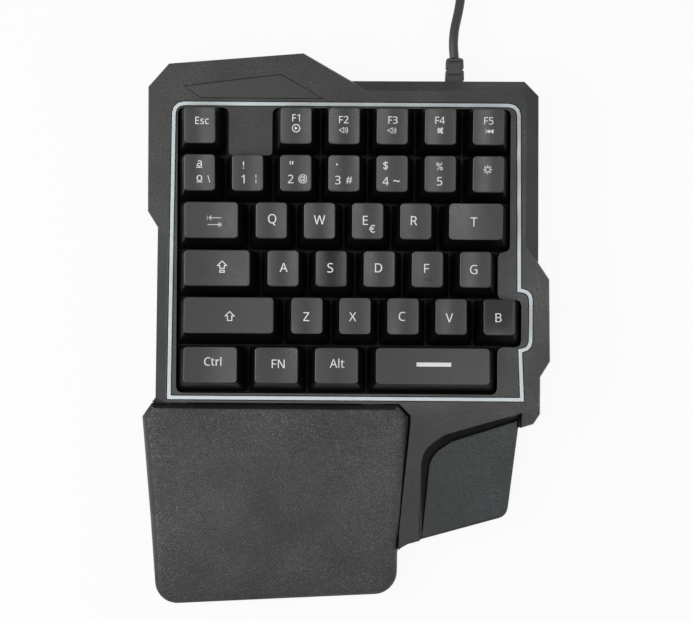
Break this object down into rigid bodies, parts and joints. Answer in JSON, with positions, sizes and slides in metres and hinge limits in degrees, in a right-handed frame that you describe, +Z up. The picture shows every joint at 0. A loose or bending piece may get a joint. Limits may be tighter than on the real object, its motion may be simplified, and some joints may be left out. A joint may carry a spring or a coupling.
{
  "type": "gaming keypad",
  "caption": "Wired one-handed gaming keypad: sprung keys in a lit surround, a raised palm rest, a thumb rest, fold-out rear legs and a coiled lead with its plug.",
  "frame": {"origin": "Middle of the case's outline, on the surface it stands on.", "axes": "+X to the user's right, +Y away from the user towards the lead, +Z up."},
  "size_m": [0.1652, 0.3344, 0.0309],
  "materials": {
    "cover_plastic": "fine matt moulded texture",
    "plate_plastic": "fine matt moulded texture",
    "cap_plastic": "satin caps",
    "rest_grain": "leather-like grain moulded in hard plastic",
    "pad_grain": "leather-like grain moulded in hard plastic",
    "badge_plastic": "bare panel, no badge",
    "ring_diffuser": "pale translucent light guide",
    "base_plastic": "matt moulded",
    "foot_rubber": "matt rubber",
    "leg_plastic": "matt moulded",
    "dome_silicone": "translucent silicone",
    "membrane_film": "printed film",
    "light_board": "white laminate",
    "controller_laminate": "green laminate",
    "lead_jacket": "matt jacket",
    "plug_overmould": "matt overmould",
    "steel": "drawn or plated steel",
    "plug_insulator": "white insulator"
  },
  "bodies": {
    "case": {"top_cover": "cover_plastic", "key_plate": "plate_plastic", "light_ring": "ring_diffuser", "badge_panel": "badge_plastic", "palm_rest": "rest_grain", "thumb_pad": "pad_grain", "bottom_cover": "base_plastic", "dome_sheet": "dome_silicone", "membrane_sheet": "membrane_film", "backlight_board": "light_board", "controller_board": "controller_laminate", "strain_relief": "lead_jacket", "cord_run": "lead_jacket", "cord_coil": "lead_jacket", "usb_plug_body": "plug_overmould", "usb_plug_shell": "steel", "usb_plug_tongue": "plug_insulator", "foot_rear_left": "foot_rubber", "foot_rear_right": "foot_rubber", "foot_front_left": "foot_rubber", "foot_front_right": "foot_rubber"},
    "key_esc_body": {"key_esc": "cap_plastic"},
    "key_f1_body": {"key_f1": "cap_plastic"},
    "key_f2_body": {"key_f2": "cap_plastic"},
    "key_f3_body": {"key_f3": "cap_plastic"},
    "key_f4_body": {"key_f4": "cap_plastic"},
    "key_f5_body": {"key_f5": "cap_plastic"},
    "key_ordinal_body": {"key_ordinal": "cap_plastic"},
    "key_1_body": {"key_1": "cap_plastic"},
    "key_2_body": {"key_2": "cap_plastic"},
    "key_3_body": {"key_3": "cap_plastic"},
    "key_4_body": {"key_4": "cap_plastic"},
    "key_5_body": {"key_5": "cap_plastic"},
    "key_scroll_lock_body": {"key_scroll_lock": "cap_plastic"},
    "key_tab_body": {"key_tab": "cap_plastic"},
    "key_q_body": {"key_q": "cap_plastic"},
    "key_w_body": {"key_w": "cap_plastic"},
    "key_e_body": {"key_e": "cap_plastic"},
    "key_r_body": {"key_r": "cap_plastic"},
    "key_t_body": {"key_t": "cap_plastic"},
    "key_caps_lock_body": {"key_caps_lock": "cap_plastic"},
    "key_a_body": {"key_a": "cap_plastic"},
    "key_s_body": {"key_s": "cap_plastic"},
    "key_d_body": {"key_d": "cap_plastic"},
    "key_f_body": {"key_f": "cap_plastic"},
    "key_g_body": {"key_g": "cap_plastic"},
    "key_shift_body": {"key_shift": "cap_plastic"},
    "key_z_body": {"key_z": "cap_plastic"},
    "key_x_body": {"key_x": "cap_plastic"},
    "key_c_body": {"key_c": "cap_plastic"},
    "key_v_body": {"key_v": "cap_plastic"},
    "key_b_body": {"key_b": "cap_plastic"},
    "key_ctrl_body": {"key_ctrl": "cap_plastic"},
    "key_fn_body": {"key_fn": "cap_plastic"},
    "key_alt_body": {"key_alt": "cap_plastic"},
    "key_space_body": {"key_space": "cap_plastic"},
    "wire_space_body": {"wire_space": "steel"},
    "wire_shift_body": {"wire_shift": "steel"},
    "tilt_leg_left_body": {"tilt_leg_left": "leg_plastic"},
    "tilt_leg_right_body": {"tilt_leg_right": "leg_plastic"}
  },
  "joints": [
    {"name": "press_esc", "type": "slide", "parent": "case", "child": "key_esc_body", "axis": [0, 0, -1], "range_m": [0, 0.0035], "stiffness_N_per_m": 150, "springref_m": -0.003, "deforming": ["dome_sheet"]},
    {"name": "press_f1", "type": "slide", "parent": "case", "child": "key_f1_body", "axis": [0, 0, -1], "range_m": [0, 0.0035], "stiffness_N_per_m": 150, "springref_m": -0.003, "deforming": ["dome_sheet"]},
    {"name": "press_f2", "type": "slide", "parent": "case", "child": "key_f2_body", "axis": [0, 0, -1], "range_m": [0, 0.0035], "stiffness_N_per_m": 150, "springref_m": -0.003, "deforming": ["dome_sheet"]},
    {"name": "press_f3", "type": "slide", "parent": "case", "child": "key_f3_body", "axis": [0, 0, -1], "range_m": [0, 0.0035], "stiffness_N_per_m": 150, "springref_m": -0.003, "deforming": ["dome_sheet"]},
    {"name": "press_f4", "type": "slide", "parent": "case", "child": "key_f4_body", "axis": [0, 0, -1], "range_m": [0, 0.0035], "stiffness_N_per_m": 150, "springref_m": -0.003, "deforming": ["dome_sheet"]},
    {"name": "press_f5", "type": "slide", "parent": "case", "child": "key_f5_body", "axis": [0, 0, -1], "range_m": [0, 0.0035], "stiffness_N_per_m": 150, "springref_m": -0.003, "deforming": ["dome_sheet"]},
    {"name": "press_ordinal", "type": "slide", "parent": "case", "child": "key_ordinal_body", "axis": [0, 0, -1], "range_m": [0, 0.0035], "stiffness_N_per_m": 150, "springref_m": -0.003, "deforming": ["dome_sheet"]},
    {"name": "press_1", "type": "slide", "parent": "case", "child": "key_1_body", "axis": [0, 0, -1], "range_m": [0, 0.0035], "stiffness_N_per_m": 150, "springref_m": -0.003, "deforming": ["dome_sheet"]},
    {"name": "press_2", "type": "slide", "parent": "case", "child": "key_2_body", "axis": [0, 0, -1], "range_m": [0, 0.0035], "stiffness_N_per_m": 150, "springref_m": -0.003, "deforming": ["dome_sheet"]},
    {"name": "press_3", "type": "slide", "parent": "case", "child": "key_3_body", "axis": [0, 0, -1], "range_m": [0, 0.0035], "stiffness_N_per_m": 150, "springref_m": -0.003, "deforming": ["dome_sheet"]},
    {"name": "press_4", "type": "slide", "parent": "case", "child": "key_4_body", "axis": [0, 0, -1], "range_m": [0, 0.0035], "stiffness_N_per_m": 150, "springref_m": -0.003, "deforming": ["dome_sheet"]},
    {"name": "press_5", "type": "slide", "parent": "case", "child": "key_5_body", "axis": [0, 0, -1], "range_m": [0, 0.0035], "stiffness_N_per_m": 150, "springref_m": -0.003, "deforming": ["dome_sheet"]},
    {"name": "press_scroll_lock", "type": "slide", "parent": "case", "child": "key_scroll_lock_body", "axis": [0, 0, -1], "range_m": [0, 0.0035], "stiffness_N_per_m": 150, "springref_m": -0.003, "deforming": ["dome_sheet"]},
    {"name": "press_tab", "type": "slide", "parent": "case", "child": "key_tab_body", "axis": [0, 0, -1], "range_m": [0, 0.0035], "stiffness_N_per_m": 150, "springref_m": -0.003, "deforming": ["dome_sheet"]},
    {"name": "press_q", "type": "slide", "parent": "case", "child": "key_q_body", "axis": [0, 0, -1], "range_m": [0, 0.0035], "stiffness_N_per_m": 150, "springref_m": -0.003, "deforming": ["dome_sheet"]},
    {"name": "press_w", "type": "slide", "parent": "case", "child": "key_w_body", "axis": [0, 0, -1], "range_m": [0, 0.0035], "stiffness_N_per_m": 150, "springref_m": -0.003, "deforming": ["dome_sheet"]},
    {"name": "press_e", "type": "slide", "parent": "case", "child": "key_e_body", "axis": [0, 0, -1], "range_m": [0, 0.0035], "stiffness_N_per_m": 150, "springref_m": -0.003, "deforming": ["dome_sheet"]},
    {"name": "press_r", "type": "slide", "parent": "case", "child": "key_r_body", "axis": [0, 0, -1], "range_m": [0, 0.0035], "stiffness_N_per_m": 150, "springref_m": -0.003, "deforming": ["dome_sheet"]},
    {"name": "press_t", "type": "slide", "parent": "case", "child": "key_t_body", "axis": [0, 0, -1], "range_m": [0, 0.0035], "stiffness_N_per_m": 150, "springref_m": -0.003, "deforming": ["dome_sheet"]},
    {"name": "press_caps_lock", "type": "slide", "parent": "case", "child": "key_caps_lock_body", "axis": [0, 0, -1], "range_m": [0, 0.0035], "stiffness_N_per_m": 150, "springref_m": -0.003, "deforming": ["dome_sheet"]},
    {"name": "press_a", "type": "slide", "parent": "case", "child": "key_a_body", "axis": [0, 0, -1], "range_m": [0, 0.0035], "stiffness_N_per_m": 150, "springref_m": -0.003, "deforming": ["dome_sheet"]},
    {"name": "press_s", "type": "slide", "parent": "case", "child": "key_s_body", "axis": [0, 0, -1], "range_m": [0, 0.0035], "stiffness_N_per_m": 150, "springref_m": -0.003, "deforming": ["dome_sheet"]},
    {"name": "press_d", "type": "slide", "parent": "case", "child": "key_d_body", "axis": [0, 0, -1], "range_m": [0, 0.0035], "stiffness_N_per_m": 150, "springref_m": -0.003, "deforming": ["dome_sheet"]},
    {"name": "press_f", "type": "slide", "parent": "case", "child": "key_f_body", "axis": [0, 0, -1], "range_m": [0, 0.0035], "stiffness_N_per_m": 150, "springref_m": -0.003, "deforming": ["dome_sheet"]},
    {"name": "press_g", "type": "slide", "parent": "case", "child": "key_g_body", "axis": [0, 0, -1], "range_m": [0, 0.0035], "stiffness_N_per_m": 150, "springref_m": -0.003, "deforming": ["dome_sheet"]},
    {"name": "press_shift", "type": "slide", "parent": "case", "child": "key_shift_body", "axis": [0, 0, -1], "range_m": [0, 0.0035], "stiffness_N_per_m": 150, "springref_m": -0.003, "deforming": ["dome_sheet"]},
    {"name": "press_z", "type": "slide", "parent": "case", "child": "key_z_body", "axis": [0, 0, -1], "range_m": [0, 0.0035], "stiffness_N_per_m": 150, "springref_m": -0.003, "deforming": ["dome_sheet"]},
    {"name": "press_x", "type": "slide", "parent": "case", "child": "key_x_body", "axis": [0, 0, -1], "range_m": [0, 0.0035], "stiffness_N_per_m": 150, "springref_m": -0.003, "deforming": ["dome_sheet"]},
    {"name": "press_c", "type": "slide", "parent": "case", "child": "key_c_body", "axis": [0, 0, -1], "range_m": [0, 0.0035], "stiffness_N_per_m": 150, "springref_m": -0.003, "deforming": ["dome_sheet"]},
    {"name": "press_v", "type": "slide", "parent": "case", "child": "key_v_body", "axis": [0, 0, -1], "range_m": [0, 0.0035], "stiffness_N_per_m": 150, "springref_m": -0.003, "deforming": ["dome_sheet"]},
    {"name": "press_b", "type": "slide", "parent": "case", "child": "key_b_body", "axis": [0, 0, -1], "range_m": [0, 0.0035], "stiffness_N_per_m": 150, "springref_m": -0.003, "deforming": ["dome_sheet"]},
    {"name": "press_ctrl", "type": "slide", "parent": "case", "child": "key_ctrl_body", "axis": [0, 0, -1], "range_m": [0, 0.0035], "stiffness_N_per_m": 150, "springref_m": -0.003, "deforming": ["dome_sheet"]},
    {"name": "press_fn", "type": "slide", "parent": "case", "child": "key_fn_body", "axis": [0, 0, -1], "range_m": [0, 0.0035], "stiffness_N_per_m": 150, "springref_m": -0.003, "deforming": ["dome_sheet"]},
    {"name": "press_alt", "type": "slide", "parent": "case", "child": "key_alt_body", "axis": [0, 0, -1], "range_m": [0, 0.0035], "stiffness_N_per_m": 150, "springref_m": -0.003, "deforming": ["dome_sheet"]},
    {"name": "press_space", "type": "slide", "parent": "case", "child": "key_space_body", "axis": [0, 0, -1], "range_m": [0, 0.0035], "stiffness_N_per_m": 150, "springref_m": -0.003, "deforming": ["dome_sheet"]},
    {"name": "swing_wire_space", "type": "hinge", "parent": "case", "child": "wire_space_body", "pos_m": [0.03461, -0.01261, 0.01665], "axis": [1, 0, 0], "range_deg": [0, 22.43]},
    {"name": "swing_wire_shift", "type": "hinge", "parent": "case", "child": "wire_shift_body", "pos_m": [-0.04635, 0.00644, 0.01665], "axis": [1, 0, 0], "range_deg": [0, 22.43]},
    {"name": "fold_leg_left", "type": "hinge", "parent": "case", "child": "tilt_leg_left_body", "pos_m": [-0.06445, 0.08437, 0.0032], "axis": [1, 0, 0], "range_deg": [0, 95]},
    {"name": "fold_leg_right", "type": "hinge", "parent": "case", "child": "tilt_leg_right_body", "pos_m": [0.06223, 0.08437, 0.0032], "axis": [1, 0, 0], "range_deg": [0, 95]}
  ],
  "couplings": [
    {"joint": "swing_wire_space", "follows": "press_space", "rad_per_m": 111.83},
    {"joint": "swing_wire_shift", "follows": "press_shift", "rad_per_m": 111.83}
  ]
}
